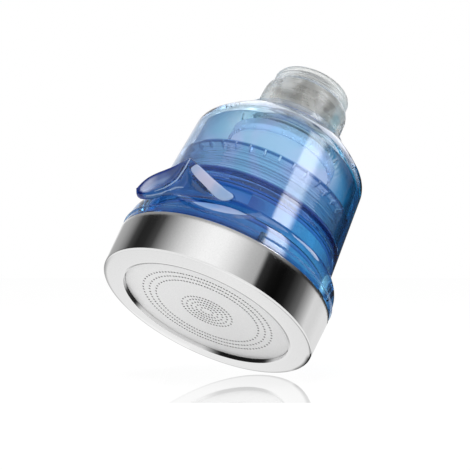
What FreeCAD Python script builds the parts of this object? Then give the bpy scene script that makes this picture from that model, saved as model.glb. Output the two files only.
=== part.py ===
import FreeCAD, Part
import math
import os

# Faucet mount water filter: a clear threaded neck that turns in a blue dome, a filter core
# inside, a blue lower body with a three-way diverter, and a metal spray head.
# Lengths are in millimetres and angles in degrees. Heights are measured up from the outer edge
# of the ring's rim. At the end every piece is lowered so that z = 0 is the inlet thread's shoulder.

# Sizes that the rest follows
ring_r = 30.0
ring_height = 11.2
body_height = 17.0
dome_length = 32.1
thread_r = 11.0
thread_length = 4.9
barrel_length = 9.65

# Clearances
running_clearance = 0.06
thread_clearance = 0.08
face_gap = 0.15
lever_gap = 0.35
fit_gap = 0.1
ring_fit = 0.2
flange_seat = 0.3

# Main heights
flange_bottom = ring_height + flange_seat
seam_height = flange_bottom + body_height
dome_height = seam_height + dome_length
barrel_bottom = dome_height + face_gap
thread_shoulder = barrel_bottom + barrel_length
overall_height = thread_shoulder + thread_length

# Inlet neck
barrel_step = 1.15
barrel_r = thread_r + barrel_step
barrel_bead = 0.25
neck_wall = 3.1
neck_bore_r = thread_r - neck_wall
washer_pocket_wall = 1.4
washer_pocket_r = thread_r - washer_pocket_wall
washer_pocket_depth = 2.7
washer_thickness = 1.8
washer_width = 2.3
washer_outer_r = washer_pocket_r - fit_gap
washer_bore_r = washer_outer_r - washer_width
strainer_thickness = 0.6
strainer_hole_r = 0.6
strainer_pitch = 1.7
stub_step = 1.2
stub_r = thread_r - stub_step
stub_length = 5.6
retainer_thickness = 1.0
retainer_width = 2.6
retainer_groove_depth = 1.1
retainer_gap_width = 4.0

# Dome
dome_wall = 2.0
dome_lip_step = 2.85
dome_lip_r = barrel_r + dome_lip_step
dome_lip_edge = 0.4
dome_boss_wall = 2.5
dome_boss_r = stub_r + dome_boss_wall
dome_boss_depth = 3.2
dome_corner_r = 5.1
dome_corner_sweep = 38.5
dome_cap_r = 32.9
dome_shoulder_height = 12.4
dome_straight_top = dome_height - dome_shoulder_height
body_taper = 0.0527
skirt_step = 4.16
skirt_bottom_r = ring_r - skirt_step

# Collar, thread and seam between the dome and the lower body
collar_step = 1.94
collar_r = skirt_bottom_r - collar_step
collar_wall = 2.0
collar_bore_r = collar_r - collar_wall
collar_length = 10.2
collar_top = seam_height + collar_length
castellation_count = 36
castellation_width = 0.5
castellation_depth = 1.4
thread_ridge_count = 6
thread_ridge_pitch = 1.2
thread_groove_depth = 0.55
thread_top_land = 0.6
dome_ring_section_r = 0.45
dome_ring_rise = 1.0
dome_ring_height = seam_height + dome_ring_rise

# Lower body
flange_step = 0.1
flange_r = ring_r - flange_step
flange_straight_height = 3.9
flange_straight_top = flange_bottom + flange_straight_height
flange_taper = 0.09
shoulder_mid_step = 1.2
shoulder_mid_r = flange_r - shoulder_mid_step
shoulder_mid_rise = 6.7
shoulder_mid_height = flange_bottom + shoulder_mid_rise
shoulder_height = 9.1
waist_bottom = flange_bottom + shoulder_height
ring_wall = 1.2
drum_r = ring_r - ring_wall - ring_fit
drum_wall = 1.5
drum_bore_r = drum_r - drum_wall
partition_thickness = 2.2
partition_drop = 1.5
partition_bottom = seam_height - partition_drop
partition_top = partition_bottom + partition_thickness
rotor_wall_step = 1.64
rotor_bore_r = skirt_bottom_r - rotor_wall_step
chamber_step = 1.5
chamber_ceiling = flange_bottom + chamber_step
outlet_hole_r = 5.0
bypass_hole_r = 1.8
bypass_hole_count = 6
bypass_inset = 3.3
bypass_circle_r = collar_bore_r - bypass_inset
facet_direction = -21.0
facet_tilt = 35.0
facet_foot_rise = 1.235
facet_foot_height = flange_bottom + facet_foot_rise

# Diverter: rotor, lever and pin
lever_direction = -38.0
lever_swing = 22.0
gasket_thickness = 1.0
distribution_top = chamber_ceiling - gasket_thickness
rotor_r = rotor_bore_r - running_clearance
rotor_bottom = distribution_top + face_gap
rotor_top = partition_bottom - face_gap
tongue_width = 8.0
tongue_rise = 9.5
tongue_bottom = flange_bottom + tongue_rise
tongue_height = 3.5
tongue_reach = 4.3
tongue_end_r = rotor_bore_r - tongue_reach
rotor_wall = 2.5
rotor_floor = 2.5
rotor_ring_section_r = 0.6
rotor_ring_inset = 1.3
rotor_lower_ring_drop = 2.6
rotor_lower_ring_height = tongue_bottom - rotor_lower_ring_drop
rotor_upper_ring_height = partition_bottom - rotor_ring_inset
rotor_boss_width = 11.0
rotor_boss_depth = 1.5
rotor_port_r = 2.4
rotor_inner_port_circle_r = 0.27 * rotor_bore_r
rotor_outer_port_circle_r = 0.62 * rotor_bore_r
rotor_port_count = 3
lever_pin_r = 0.8
lever_pin_inset = 3.0
lever_pin_circle_r = rotor_bore_r - lever_pin_inset
lever_pin_length = 9.5

# Lever blade, drawn in a frame turned to the blade's own direction:
# s runs along the blade towards its tip, h is the distance out from the axis
blade_direction = -28.9
blade_root_s = -8.0
blade_peak_s = 6.7
blade_tip_s = 18.8
blade_root_inset = 2.7
blade_root_h = flange_r - blade_root_inset
blade_front_proud = 0.3
blade_front_h = flange_r + blade_front_proud
blade_tip_inset = 2.7
blade_tip_h = flange_r - blade_tip_inset
blade_depth = 10.2
blade_inner_h = blade_front_h - blade_depth
blade_peak_rise = 6.3
blade_peak_height = tongue_bottom + blade_peak_rise
blade_root_drop = 1.0
blade_root_height = tongue_bottom - blade_root_drop
blade_bottom_drop = 4.0
blade_bottom_height = tongue_bottom - blade_bottom_drop
blade_tip_drop = 3.7
blade_tip_height = tongue_bottom - blade_tip_drop
blade_thickness = 2.3
dish_depth = 1.1
dish_rim = 1.2
pocket_depth = 0.9
pocket_rim = 0.9
facet_band = 3.0

# Filter core
core_inset = 7.4
core_r = collar_bore_r - core_inset
core_wall = 9.5
core_bore_r = core_r - core_wall
cap_thickness = 1.2
cap_rim_wall = 0.8
cap_rim_height = 2.0
outlet_tube_length = 2.8
core_gasket_inset = 1.5
core_gasket_lip = 1.0
core_gasket_outer_r = core_r - core_gasket_inset
core_gasket_inner_r = outlet_hole_r + core_gasket_lip
core_headroom = 2.35
core_base = partition_top + gasket_thickness
core_cap_r = core_r + cap_rim_wall + fit_gap / 2
core_top = barrel_bottom - stub_length - core_headroom
core_length = core_top - core_base - 2 * cap_thickness

# Spray head
ring_draft = 0.5
ring_base_r = ring_r - ring_draft
ring_edge_r = 1.0
ring_rim_width = 6.1
ring_opening_r = ring_base_r - ring_rim_width
rim_thickness = 1.2
rim_crown = 0.4
rim_land = 1.0
plate_ring_gap = 0.2
plate_r = ring_opening_r - plate_ring_gap
plate_thickness = 1.0
plate_recess = 0.75
plate_top = plate_recess + plate_thickness
plate_flange_inset = 1.6
plate_flange_r = ring_r - ring_wall - plate_flange_inset
plate_flange_bottom = rim_thickness + ring_fit
plate_flange_top = plate_flange_bottom + plate_thickness
plate_gasket_thickness = 0.9
plate_gasket_width = 1.6
drum_bottom = plate_flange_top + plate_gasket_thickness
micro_hole_r = 0.22
micro_hole_pitch = 1.3
outer_circle_inset = 4.95
hole_circle_step = 1.85
outer_circle_count = 3
inner_circle_r = 1.75
inner_circle_step = 1.3375
inner_circle_count = 5
distribution_thickness = 2.2
distribution_bottom = distribution_top - distribution_thickness
distribution_hole_r = 0.9
distribution_inner_circle_r = 4.5
distribution_inner_count = 6
distribution_outer_inset = 5.2
distribution_outer_circle_r = plate_r - distribution_outer_inset
distribution_outer_count = 12
chamber_wall_r = 11.6
chamber_wall_thickness = 1.6
chamber_seal_height = 1.2
screw_count = 4
screw_inset = 3.05
screw_circle_r = drum_r - screw_inset
screw_r = 0.9
screw_length = 6.0
screw_head_r = 1.5
screw_head_height = 1.1
screw_slot_width = 0.5
screw_slot_depth = 0.5
screw_start_angle = 10.0

# Room by which cutters reach past the faces that they cut
overshoot = 1.0

UP = FreeCAD.Vector(0, 0, 1)
ORIGIN = FreeCAD.Vector(0, 0, 0)


def direction(angle):
    """Unit vector at an angle from -Y, positive towards +X."""
    turn = math.radians(angle)
    return FreeCAD.Vector(math.sin(turn), -math.cos(turn), 0)


def body_r(height):
    """Outer radius of the tapered barrel formed by the waist and the dome."""
    return skirt_bottom_r - body_taper * (height - seam_height)


def outline(start, *steps):
    """Closed wire in the XZ plane. A step is a point, or a mid point and an end for an arc."""
    edges = []
    here = FreeCAD.Vector(start[0], 0, start[1])
    first = here
    for step in steps:
        if isinstance(step[0], tuple):
            middle = FreeCAD.Vector(step[0][0], 0, step[0][1])
            there = FreeCAD.Vector(step[1][0], 0, step[1][1])
            edges.append(Part.Arc(here, middle, there).toShape())
        else:
            there = FreeCAD.Vector(step[0], 0, step[1])
            edges.append(Part.LineSegment(here, there).toShape())
        here = there
    if (here - first).Length > 1e-6:
        edges.append(Part.LineSegment(here, first).toShape())
    return Part.Wire(edges)


def turned(start, *steps):
    """Solid of revolution about the long axis."""
    face = Part.Face(outline(start, *steps))
    return face.revolve(ORIGIN, UP, 360)


def disc(radius, bottom, top):
    return Part.makeCylinder(radius, top - bottom, FreeCAD.Vector(0, 0, bottom))


def ring(outer_r, inner_r, bottom, top):
    return disc(outer_r, bottom, top).cut(disc(inner_r, bottom, top))


def o_ring(middle_r, section_r, height):
    return Part.makeTorus(middle_r, section_r, FreeCAD.Vector(0, 0, height))


def holes(count, circle_r, hole_r, bottom, top, start_angle=0.0):
    """Group of upright cylinders on a circle, used as a cutter."""
    cutters = []
    for index in range(count):
        place = direction(start_angle + 360.0 * index / count) * circle_r
        place.z = bottom
        cutters.append(Part.makeCylinder(hole_r, top - bottom, place))
    return Part.makeCompound(cutters)


def hexagon(centre, radius, height):
    corners = []
    for index in range(6):
        turn = math.radians(60 * index)
        corners.append(FreeCAD.Vector(centre.x + radius * math.cos(turn),
                                      centre.y + radius * math.sin(turn), height))
    return Part.makePolygon(corners + corners[:1])


def pierced_disc(radius, bottom, thickness, centres, hole_r):
    """Disc with small six-sided holes."""
    rim = Part.Wire(Part.makeCircle(radius, FreeCAD.Vector(0, 0, bottom)))
    wires = [rim] + [hexagon(centre, hole_r, bottom) for centre in centres]
    face = Part.makeFace(wires, "Part::FaceMakerBullseye")
    return face.extrude(FreeCAD.Vector(0, 0, thickness))


def arc_point(centre, radius, angle):
    turn = math.radians(angle)
    return (centre[0] + radius * math.cos(turn), centre[1] + radius * math.sin(turn))


def radial_box(angle, width, inner_r, outer_r, bottom, top):
    """Box centred on a direction, reaching from one distance from the axis to another."""
    box = Part.makeBox(outer_r - inner_r, width, top - bottom,
                       FreeCAD.Vector(inner_r, -width / 2, bottom))
    box.rotate(ORIGIN, UP, angle - 90)
    return box


# Inlet neck and what it holds
def inlet_neck():
    pocket_floor = overall_height - washer_pocket_depth
    stub_bottom = barrel_bottom - stub_length
    barrel_mid = (barrel_bottom + thread_shoulder) / 2
    neck = turned((neck_bore_r, stub_bottom),
                  (stub_r - retainer_groove_depth / 2, stub_bottom),
                  (stub_r, stub_bottom + retainer_groove_depth / 2),
                  (stub_r, barrel_bottom),
                  (barrel_r - barrel_bead, barrel_bottom),
                  ((barrel_r + barrel_bead, barrel_mid), (barrel_r - barrel_bead, thread_shoulder)),
                  (thread_r, thread_shoulder),
                  (thread_r, overall_height),
                  (washer_pocket_r, overall_height),
                  (washer_pocket_r, pocket_floor),
                  (neck_bore_r, pocket_floor))
    groove = retainer_height()
    neck = neck.cut(ring(stub_r + overshoot, stub_r - retainer_groove_depth,
                         groove - fit_gap / 2, groove + retainer_thickness + fit_gap / 2))
    seat = neck_ring_height()
    half = neck_ring_section_r() + fit_gap / 2
    return neck.cut(ring(stub_r + overshoot, stub_r - 2 * neck_ring_section_r(),
                         seat - half, seat + half))


def neck_ring_section_r():
    return dome_ring_section_r * 1.2


def neck_ring_height():
    return dome_height - dome_boss_depth / 2


def retainer_height():
    return dome_height - dome_boss_depth - face_gap - retainer_thickness


def neck_o_ring():
    return o_ring(stub_r - neck_ring_section_r(), neck_ring_section_r(), neck_ring_height())


def neck_retainer():
    bottom = retainer_height()
    inner_r = stub_r - retainer_groove_depth + running_clearance
    clip = ring(inner_r + retainer_width, inner_r, bottom, bottom + retainer_thickness)
    return clip.cut(radial_box(180, retainer_gap_width, inner_r / 2,
                               inner_r + retainer_width + overshoot,
                               bottom, bottom + retainer_thickness))


def inlet_washer():
    bottom = overall_height - washer_pocket_depth + strainer_thickness
    return ring(washer_outer_r, washer_bore_r, bottom, bottom + washer_thickness)


def inlet_strainer():
    bottom = overall_height - washer_pocket_depth
    centres = []
    steps = int(washer_bore_r / strainer_pitch)
    for column in range(-steps, steps + 1):
        for row in range(-steps, steps + 1):
            x = column * strainer_pitch
            y = row * strainer_pitch
            if math.hypot(x, y) + strainer_hole_r < washer_bore_r:
                centres.append(FreeCAD.Vector(x, y, bottom))
    return pierced_disc(washer_outer_r, bottom, strainer_thickness, centres, strainer_hole_r)


# Dome and its ring
def dome_profile(inset):
    """Points of the dome's shoulder, moved inwards by a wall."""
    wall_r = body_r(dome_straight_top)
    corner = (wall_r - dome_corner_r, dome_straight_top)
    turn = dome_corner_sweep
    reach = dome_cap_r - dome_corner_r
    cap = (corner[0] - reach * math.cos(math.radians(turn)),
           corner[1] - reach * math.sin(math.radians(turn)))
    land_r = dome_lip_r if inset == 0 else dome_boss_r
    top = math.degrees(math.acos((land_r - cap[0]) / (dome_cap_r - inset)))
    return {"wall": (wall_r - inset, dome_straight_top),
            "corner_mid": arc_point(corner, dome_corner_r - inset, turn / 2),
            "corner_end": arc_point(corner, dome_corner_r - inset, turn),
            "cap_mid": arc_point(cap, dome_cap_r - inset, (turn + top) / 2),
            "cap_end": arc_point(cap, dome_cap_r - inset, top)}


def upper_dome():
    outer = dome_profile(0)
    inner = dome_profile(dome_wall)
    bottom = seam_height + face_gap
    skirt_bore_r = collar_r + thread_clearance
    skirt_top = collar_top + 2 * face_gap
    bore_r = stub_r + running_clearance
    boss_bottom = dome_height - dome_boss_depth
    dome = turned((skirt_bore_r, bottom),
                  (body_r(bottom), bottom),
                  outer["wall"],
                  (outer["corner_mid"], outer["corner_end"]),
                  (outer["cap_mid"], outer["cap_end"]),
                  (dome_lip_r, dome_height - dome_lip_edge),
                  (dome_lip_r - dome_lip_edge, dome_height),
                  (bore_r, dome_height),
                  (bore_r, boss_bottom),
                  (dome_boss_r, boss_bottom),
                  inner["cap_end"],
                  (inner["cap_mid"], inner["corner_end"]),
                  (inner["corner_mid"], inner["wall"]),
                  (body_r(skirt_top) - dome_wall, skirt_top),
                  (skirt_bore_r, skirt_top))
    half = dome_ring_section_r + fit_gap / 2
    groove_r = dome_ring_middle_r() + dome_ring_section_r
    return dome.cut(ring(groove_r, skirt_bore_r - overshoot,
                         dome_ring_height - half, dome_ring_height + half))


def dome_ring_middle_r():
    return collar_r + thread_clearance + dome_ring_section_r


def dome_o_ring():
    return o_ring(dome_ring_middle_r(), dome_ring_section_r, dome_ring_height)


# Lower body
def shoulder_points():
    """Profile of the flange's shoulder: straight part, arc and the foot of the waist."""
    straight_r = flange_r - flange_taper * (flange_straight_top - flange_bottom)
    return {"base": (flange_r, flange_bottom),
            "straight": (straight_r, flange_straight_top),
            "mid": (shoulder_mid_r, shoulder_mid_height),
            "waist": (body_r(waist_bottom), waist_bottom)}


def shoulder_facet():
    """Cutter that leaves a flat, lens-shaped land on the shoulder below the lever."""
    block = Part.makeBox(ring_r, 2 * ring_r, 2 * ring_r, FreeCAD.Vector(0, -ring_r, -ring_r))
    block.rotate(ORIGIN, FreeCAD.Vector(0, 1, 0), -facet_tilt)
    block.translate(FreeCAD.Vector(flange_r, 0, facet_foot_height))
    block.rotate(ORIGIN, UP, facet_direction - 90)
    return block.common(disc(flange_r + overshoot, flange_bottom + overshoot,
                             tongue_bottom - overshoot))


def slot_cutter(half_angle, inner_r, outer_r, bottom, top):
    """Sector of a ring, centred on the lever."""
    sector = Part.makeCylinder(outer_r, top - bottom, FreeCAD.Vector(0, 0, bottom), UP, 2 * half_angle)
    sector.rotate(ORIGIN, UP, lever_direction - 90 - half_angle)
    return sector.cut(disc(inner_r, bottom, top))


def lower_body():
    shoulder = shoulder_points()
    body = turned((drum_bore_r, drum_bottom),
                  (drum_r, drum_bottom),
                  (drum_r, flange_bottom),
                  shoulder["base"],
                  shoulder["straight"],
                  (shoulder["mid"], shoulder["waist"]),
                  (body_r(seam_height), seam_height),
                  (collar_r, seam_height),
                  (collar_r, collar_top),
                  (collar_bore_r, collar_top),
                  (collar_bore_r, partition_top),
                  (outlet_hole_r, partition_top),
                  (outlet_hole_r, partition_bottom),
                  (rotor_bore_r, partition_bottom),
                  (rotor_bore_r, chamber_ceiling),
                  (drum_bore_r, chamber_ceiling))
    body = body.cut(thread_grooves())
    notches = []
    for index in range(castellation_count):
        angle = 360.0 * index / castellation_count
        notches.append(radial_box(angle, castellation_width, collar_bore_r - overshoot,
                                  collar_r + overshoot, collar_top - castellation_depth,
                                  collar_top + overshoot))
    body = body.cut(Part.makeCompound(notches))
    body = body.cut(shoulder_facet())
    tongue_half = math.degrees(math.asin(tongue_width / 2 / rotor_bore_r))
    slot_half = tongue_half + lever_swing + 1.5
    body = body.cut(slot_cutter(slot_half, rotor_bore_r - overshoot, flange_r,
                                tongue_bottom - face_gap, tongue_bottom + tongue_height + face_gap))
    body = body.cut(holes(bypass_hole_count, bypass_circle_r, bypass_hole_r,
                          partition_bottom - overshoot, partition_top + overshoot,
                          360 / bypass_hole_count / 2))
    pilot_top = distribution_bottom + screw_length
    return body.cut(holes(screw_count, screw_circle_r, screw_r, chamber_ceiling - overshoot,
                          pilot_top, screw_start_angle))


def thread_grooves():
    """V grooves of the outside thread, drawn as rings because the thread is fine."""
    reach = thread_ridge_pitch * 0.8
    grooves = []
    for index in range(thread_ridge_count):
        middle = collar_top - thread_top_land - (index + 0.5) * thread_ridge_pitch
        grooves.append(turned((collar_r + thread_groove_depth, middle - reach),
                              (collar_r - thread_groove_depth, middle),
                              (collar_r + thread_groove_depth, middle + reach)))
    return Part.makeCompound(grooves)


# Diverter
def diverter_rotor():
    wall_inner_r = rotor_r - rotor_wall
    rotor = turned((0, rotor_bottom),
                   (rotor_r, rotor_bottom),
                   (rotor_r, rotor_top),
                   (wall_inner_r, rotor_top),
                   (wall_inner_r, rotor_bottom + rotor_floor),
                   (0, rotor_bottom + rotor_floor))
    boss = radial_box(lever_direction, rotor_boss_width, tongue_end_r - rotor_boss_depth,
                      wall_inner_r + rotor_wall / 5, rotor_bottom, rotor_upper_ring_height)
    rotor = rotor.fuse(boss)
    rotor = rotor.cut(radial_box(lever_direction, tongue_width + 2 * fit_gap,
                                 tongue_end_r - fit_gap, rotor_r + overshoot,
                                 tongue_bottom - fit_gap, tongue_bottom + tongue_height + fit_gap))
    rotor = rotor.cut(lever_pin_solid(lever_pin_r + running_clearance, rotor_bottom, pin_top()))
    half = rotor_ring_section_r + fit_gap / 2
    for height in (rotor_lower_ring_height, rotor_upper_ring_height):
        rotor = rotor.cut(ring(rotor_r + overshoot, rotor_r - 2 * rotor_ring_section_r,
                               height - half, height + half))
    floor_top = rotor_bottom + rotor_floor + overshoot
    for circle_r in (rotor_inner_port_circle_r, rotor_outer_port_circle_r):
        rotor = rotor.cut(holes(rotor_port_count, circle_r, rotor_port_r, rotor_bottom - overshoot,
                                floor_top, lever_direction + 180))
    return rotor


def pin_top():
    return tongue_bottom + tongue_height + fit_gap


def lever_pin_solid(radius, bottom, top):
    place = direction(lever_direction) * lever_pin_circle_r
    place.z = bottom
    return Part.makeCylinder(radius, top - bottom, place)


def lever_pin():
    return lever_pin_solid(lever_pin_r, pin_top() - lever_pin_length, pin_top())


def rotor_o_ring(height):
    return o_ring(rotor_r - rotor_ring_section_r, rotor_ring_section_r, height)


def blade_point(s, h, z=0.0):
    """Point given in the blade's own frame."""
    out = direction(blade_direction)
    along = FreeCAD.Vector(out.y, -out.x, 0)
    place = along * s + out * h
    place.z = z
    return place


def blade_prism(plan, bottom, top):
    """Upright prism on a plan outline in the blade's frame."""
    points = [blade_point(s, h, bottom) for s, h in plan]
    face = Part.Face(Part.makePolygon(points + points[:1]))
    return face.extrude(FreeCAD.Vector(0, 0, top - bottom))


def elevation_prism(edges, near, far):
    """Prism on a closed outline of s and height, reaching from one distance to another."""
    face = Part.Face(Part.Wire(edges))
    face.translate(direction(blade_direction) * near)
    return face.extrude(direction(blade_direction) * (far - near))


def elevation_lines(points):
    corners = [blade_point(s, 0, z) for s, z in points]
    return Part.makePolygon(corners).Edges


def elevation_curve(points):
    """Smooth edge through points given as s and height."""
    curve = Part.BSplineCurve()
    curve.interpolate([blade_point(s, 0, z) for s, z in points])
    return [curve.toShape()]


def swept_clearance():
    """Space that the body takes as the lever swings, with the lever's gap added."""
    shoulder = shoulder_points()
    points = [(shoulder[key][0] + lever_gap, shoulder[key][1] + lever_gap)
              for key in ("base", "straight", "mid", "waist")]
    return turned((0, flange_bottom),
                  (points[0][0], flange_bottom),
                  points[1],
                  (points[2], points[3]),
                  (body_r(seam_height) + lever_gap, overall_height),
                  (0, overall_height))


def pad_point(along_share, out_share):
    """Point of the thumb pad's plan, as shares of its length and of its fall from the front face."""
    pad_length = blade_tip_s - blade_peak_s
    fall = blade_front_h - blade_tip_h
    return (blade_peak_s + along_share * pad_length, blade_tip_h + out_share * fall)


def blade_plan(shift):
    """Plan of the blade: a bent strip whose outer face runs from the root to the tip."""
    outer = [(blade_root_s, blade_root_h),
             (blade_root_s * 0.85, (blade_root_h + blade_front_h) / 2),
             (0, blade_front_h),
             (blade_peak_s, blade_front_h),
             pad_point(0.504, 0.633),
             pad_point(0.835, 0.3),
             (blade_tip_s, blade_tip_h)]
    inner = [(blade_tip_s - blade_thickness * 0.26, blade_tip_h - blade_thickness * 0.61),
             (pad_point(0.545, 0)[0], pad_point(0, 0.5)[1] - blade_thickness),
             (pad_point(0.207, 0)[0], blade_front_h - blade_thickness * 1.17),
             (blade_peak_s, blade_inner_h),
             (blade_root_s, blade_inner_h)]
    return [(s, h - shift) for s, h in outer + inner]


def pad_outline(rim):
    """Thumb pad from its peak round the tip, moved in by a rim.

    Each row gives shares of the pad's length and height from the tip, and how the rim moves the point.
    """
    length = blade_tip_s - blade_peak_s
    height = blade_peak_height - blade_tip_height
    rows = [(-0.843, 0.84, 0.3, -1.6),
            (-0.678, 0.72, 0.0, -1.0),
            (-0.314, 0.54, 0.0, -1.0),
            (-0.091, 0.28, -0.8, -0.5),
            (0.0, -0.02, -1.0, 0.0),
            (-0.066, -0.16, -0.8, 0.8),
            (-0.215, -0.18, 0.0, 1.0),
            (-0.496, -0.04, 0.0, 1.0),
            (-0.744, 0.02, 0.2, 1.0)]
    return [(blade_tip_s + across * length + push * rim, blade_tip_height + up * height + lift * rim)
            for across, up, push, lift in rows]


def diverter_lever():
    solid = blade_prism(blade_plan(0), flange_bottom, overall_height)
    far = blade_front_h + overshoot
    pad = pad_outline(0)
    peak = (blade_peak_s, blade_peak_height)
    foot = (blade_peak_s * 1.075, blade_bottom_height)
    end_low = (blade_root_s * 0.888, blade_bottom_height * 1.053)
    end_high = (blade_root_s * 0.862, blade_root_height)
    end_mid = (blade_root_s * 0.988, (end_low[1] + end_high[1]) / 2)
    edges = elevation_curve([peak] + pad + [foot])
    edges += elevation_lines([foot, end_low])
    edges += elevation_curve([end_low, end_mid, end_high])
    edges += elevation_lines([end_high, peak])
    solid = solid.common(elevation_prism(edges, 0, far)).cut(swept_clearance())
    rim = pad_outline(dish_rim)
    rim += [(blade_peak_s * 1.224, (rim[0][1] + rim[-1][1]) / 2 - dish_rim / 3), rim[0]]
    dish = elevation_prism(elevation_curve(rim), 0, far)
    solid = solid.cut(dish.cut(blade_prism(blade_plan(dish_depth), 0, overall_height)))
    low = blade_bottom_height + pocket_rim
    corner = (blade_peak_s - pocket_rim, low)
    web = elevation_lines([corner, (blade_root_s + facet_band + pocket_rim, low + pocket_rim / 2),
                           (blade_peak_s - pocket_rim, blade_peak_height - facet_band - pocket_rim),
                           corner])
    pocket = elevation_prism(web, 0, far)
    solid = solid.cut(pocket.cut(blade_prism(blade_plan(pocket_depth), 0, overall_height)))
    tongue_outer_r = body_r(tongue_bottom) + 3 * lever_gap
    tongue = radial_box(lever_direction, tongue_width, tongue_end_r, tongue_outer_r,
                        tongue_bottom, tongue_bottom + tongue_height)
    lever = solid.fuse(tongue)
    return lever.cut(lever_pin_solid(lever_pin_r + running_clearance, 0, overall_height))


# Filter core
def cartridge_bottom_cap():
    rim_inner_r = core_r + fit_gap / 2
    floor_top = core_base + cap_thickness
    tube_r = outlet_hole_r - fit_gap
    tube_bore_r = tube_r - cap_thickness
    return turned((tube_bore_r, core_base - outlet_tube_length),
                  (tube_r, core_base - outlet_tube_length),
                  (tube_r, core_base),
                  (core_cap_r, core_base),
                  (core_cap_r, floor_top + cap_rim_height),
                  (rim_inner_r, floor_top + cap_rim_height),
                  (rim_inner_r, floor_top),
                  (tube_bore_r, floor_top))


def filter_core():
    bottom = core_base + cap_thickness
    return ring(core_r, core_bore_r, bottom, bottom + core_length)


def cartridge_top_cap():
    under = core_base + cap_thickness + core_length
    rim_inner_r = core_r + fit_gap / 2
    return turned((0, under),
                  (rim_inner_r, under),
                  (rim_inner_r, under - cap_rim_height),
                  (core_cap_r, under - cap_rim_height),
                  (core_cap_r, under + cap_thickness),
                  (0, under + cap_thickness))


def cartridge_gasket():
    return ring(core_gasket_outer_r, core_gasket_inner_r, partition_top, core_base)


# Spray head
def distribution_plate():
    wall_bottom = plate_top + chamber_seal_height
    plate = turned((0, distribution_bottom),
                   (chamber_wall_r - chamber_wall_thickness, distribution_bottom),
                   (chamber_wall_r - chamber_wall_thickness, wall_bottom),
                   (chamber_wall_r, wall_bottom),
                   (chamber_wall_r, distribution_bottom),
                   (drum_bore_r - fit_gap, distribution_bottom),
                   (drum_bore_r - fit_gap, distribution_top),
                   (0, distribution_top))
    bottom = distribution_bottom - overshoot
    top = distribution_top + overshoot
    plate = plate.cut(holes(distribution_inner_count, distribution_inner_circle_r,
                            distribution_hole_r, bottom, top))
    plate = plate.cut(holes(distribution_outer_count, distribution_outer_circle_r,
                            distribution_hole_r, bottom, top))
    return plate.cut(holes(screw_count, screw_circle_r, screw_r + fit_gap, bottom, top, screw_start_angle))


def distribution_gasket():
    gasket = ring(drum_bore_r - fit_gap, rotor_bore_r + fit_gap, distribution_top,
                  chamber_ceiling)
    return gasket.cut(holes(screw_count, screw_circle_r, screw_r + fit_gap, distribution_top,
                            chamber_ceiling, screw_start_angle))


def base_screws():
    screws = []
    for index in range(screw_count):
        place = direction(screw_start_angle + 360.0 * index / screw_count) * screw_circle_r
        place.z = distribution_bottom - screw_head_height
        head = Part.makeCylinder(screw_head_r, screw_head_height, place)
        shank = Part.makeCylinder(screw_r, screw_length + screw_head_height, place)
        slot = Part.makeBox(3 * screw_head_r, screw_slot_width, screw_slot_depth,
                            place - FreeCAD.Vector(1.5 * screw_head_r, screw_slot_width / 2, 0))
        screws.append(head.fuse(shank).cut(slot))
    return Part.makeCompound(screws)


def chamber_seal():
    return ring(chamber_wall_r, chamber_wall_r - chamber_wall_thickness, plate_top,
                plate_top + chamber_seal_height)


def plate_gasket():
    return ring(plate_flange_r, plate_flange_r - plate_gasket_width, plate_flange_top, drum_bottom)


def micro_hole_centres():
    circles = [plate_r - outer_circle_inset - index * hole_circle_step
               for index in range(outer_circle_count)]
    circles += [inner_circle_r + index * inner_circle_step for index in range(inner_circle_count)]
    centres = []
    for circle_r in circles:
        count = round(2 * math.pi * circle_r / micro_hole_pitch)
        for index in range(count):
            centres.append(direction(360.0 * index / count) * circle_r)
    return centres


def spray_plate():
    pierced = pierced_disc(plate_r, plate_recess, plate_thickness, micro_hole_centres(), micro_hole_r)
    step_inner_r = plate_r - plate_thickness
    step = turned((step_inner_r, plate_top),
                  (plate_r, plate_top),
                  (plate_r, plate_flange_bottom),
                  (plate_flange_r, plate_flange_bottom),
                  (plate_flange_r, plate_flange_top),
                  (step_inner_r, plate_flange_top))
    return pierced.fuse(step).removeSplitter()


def trim_ring():
    """Metal ring whose rim stands a little proud towards its opening, with a flat land there."""
    inner_r = ring_r - ring_wall
    return turned((ring_opening_r, -rim_crown),
                  (ring_opening_r + rim_land, -rim_crown),
                  (ring_base_r - ring_edge_r, 0),
                  ((ring_base_r - 0.3 * ring_edge_r, 0.3 * ring_edge_r), (ring_base_r, ring_edge_r)),
                  (ring_r, ring_height),
                  (inner_r, ring_height),
                  (inner_r, rim_thickness),
                  (ring_opening_r, rim_thickness))


NODES = {
    "inlet_neck": inlet_neck(),
    "inlet_washer": inlet_washer(),
    "inlet_strainer": inlet_strainer(),
    "neck_o_ring": neck_o_ring(),
    "neck_retainer": neck_retainer(),
    "upper_dome": upper_dome(),
    "dome_o_ring": dome_o_ring(),
    "cartridge_top_cap": cartridge_top_cap(),
    "filter_core": filter_core(),
    "cartridge_bottom_cap": cartridge_bottom_cap(),
    "cartridge_gasket": cartridge_gasket(),
    "lower_body": lower_body(),
    "diverter_rotor": diverter_rotor(),
    "rotor_upper_o_ring": rotor_o_ring(rotor_upper_ring_height),
    "rotor_lower_o_ring": rotor_o_ring(rotor_lower_ring_height),
    "diverter_lever": diverter_lever(),
    "lever_pin": lever_pin(),
    "distribution_plate": distribution_plate(),
    "distribution_gasket": distribution_gasket(),
    "base_screws": base_screws(),
    "chamber_seal": chamber_seal(),
    "plate_gasket": plate_gasket(),
    "spray_plate": spray_plate(),
    "trim_ring": trim_ring(),
}

os.makedirs("parts", exist_ok=True)
for name, shape in NODES.items():
    shape.translate(FreeCAD.Vector(0, 0, -thread_shoulder))
    shape.exportStep("parts/" + name + ".step")
    print(name, "solids", len(shape.Solids), "valid", shape.isValid(), "volume", round(shape.Volume, 1))
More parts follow.
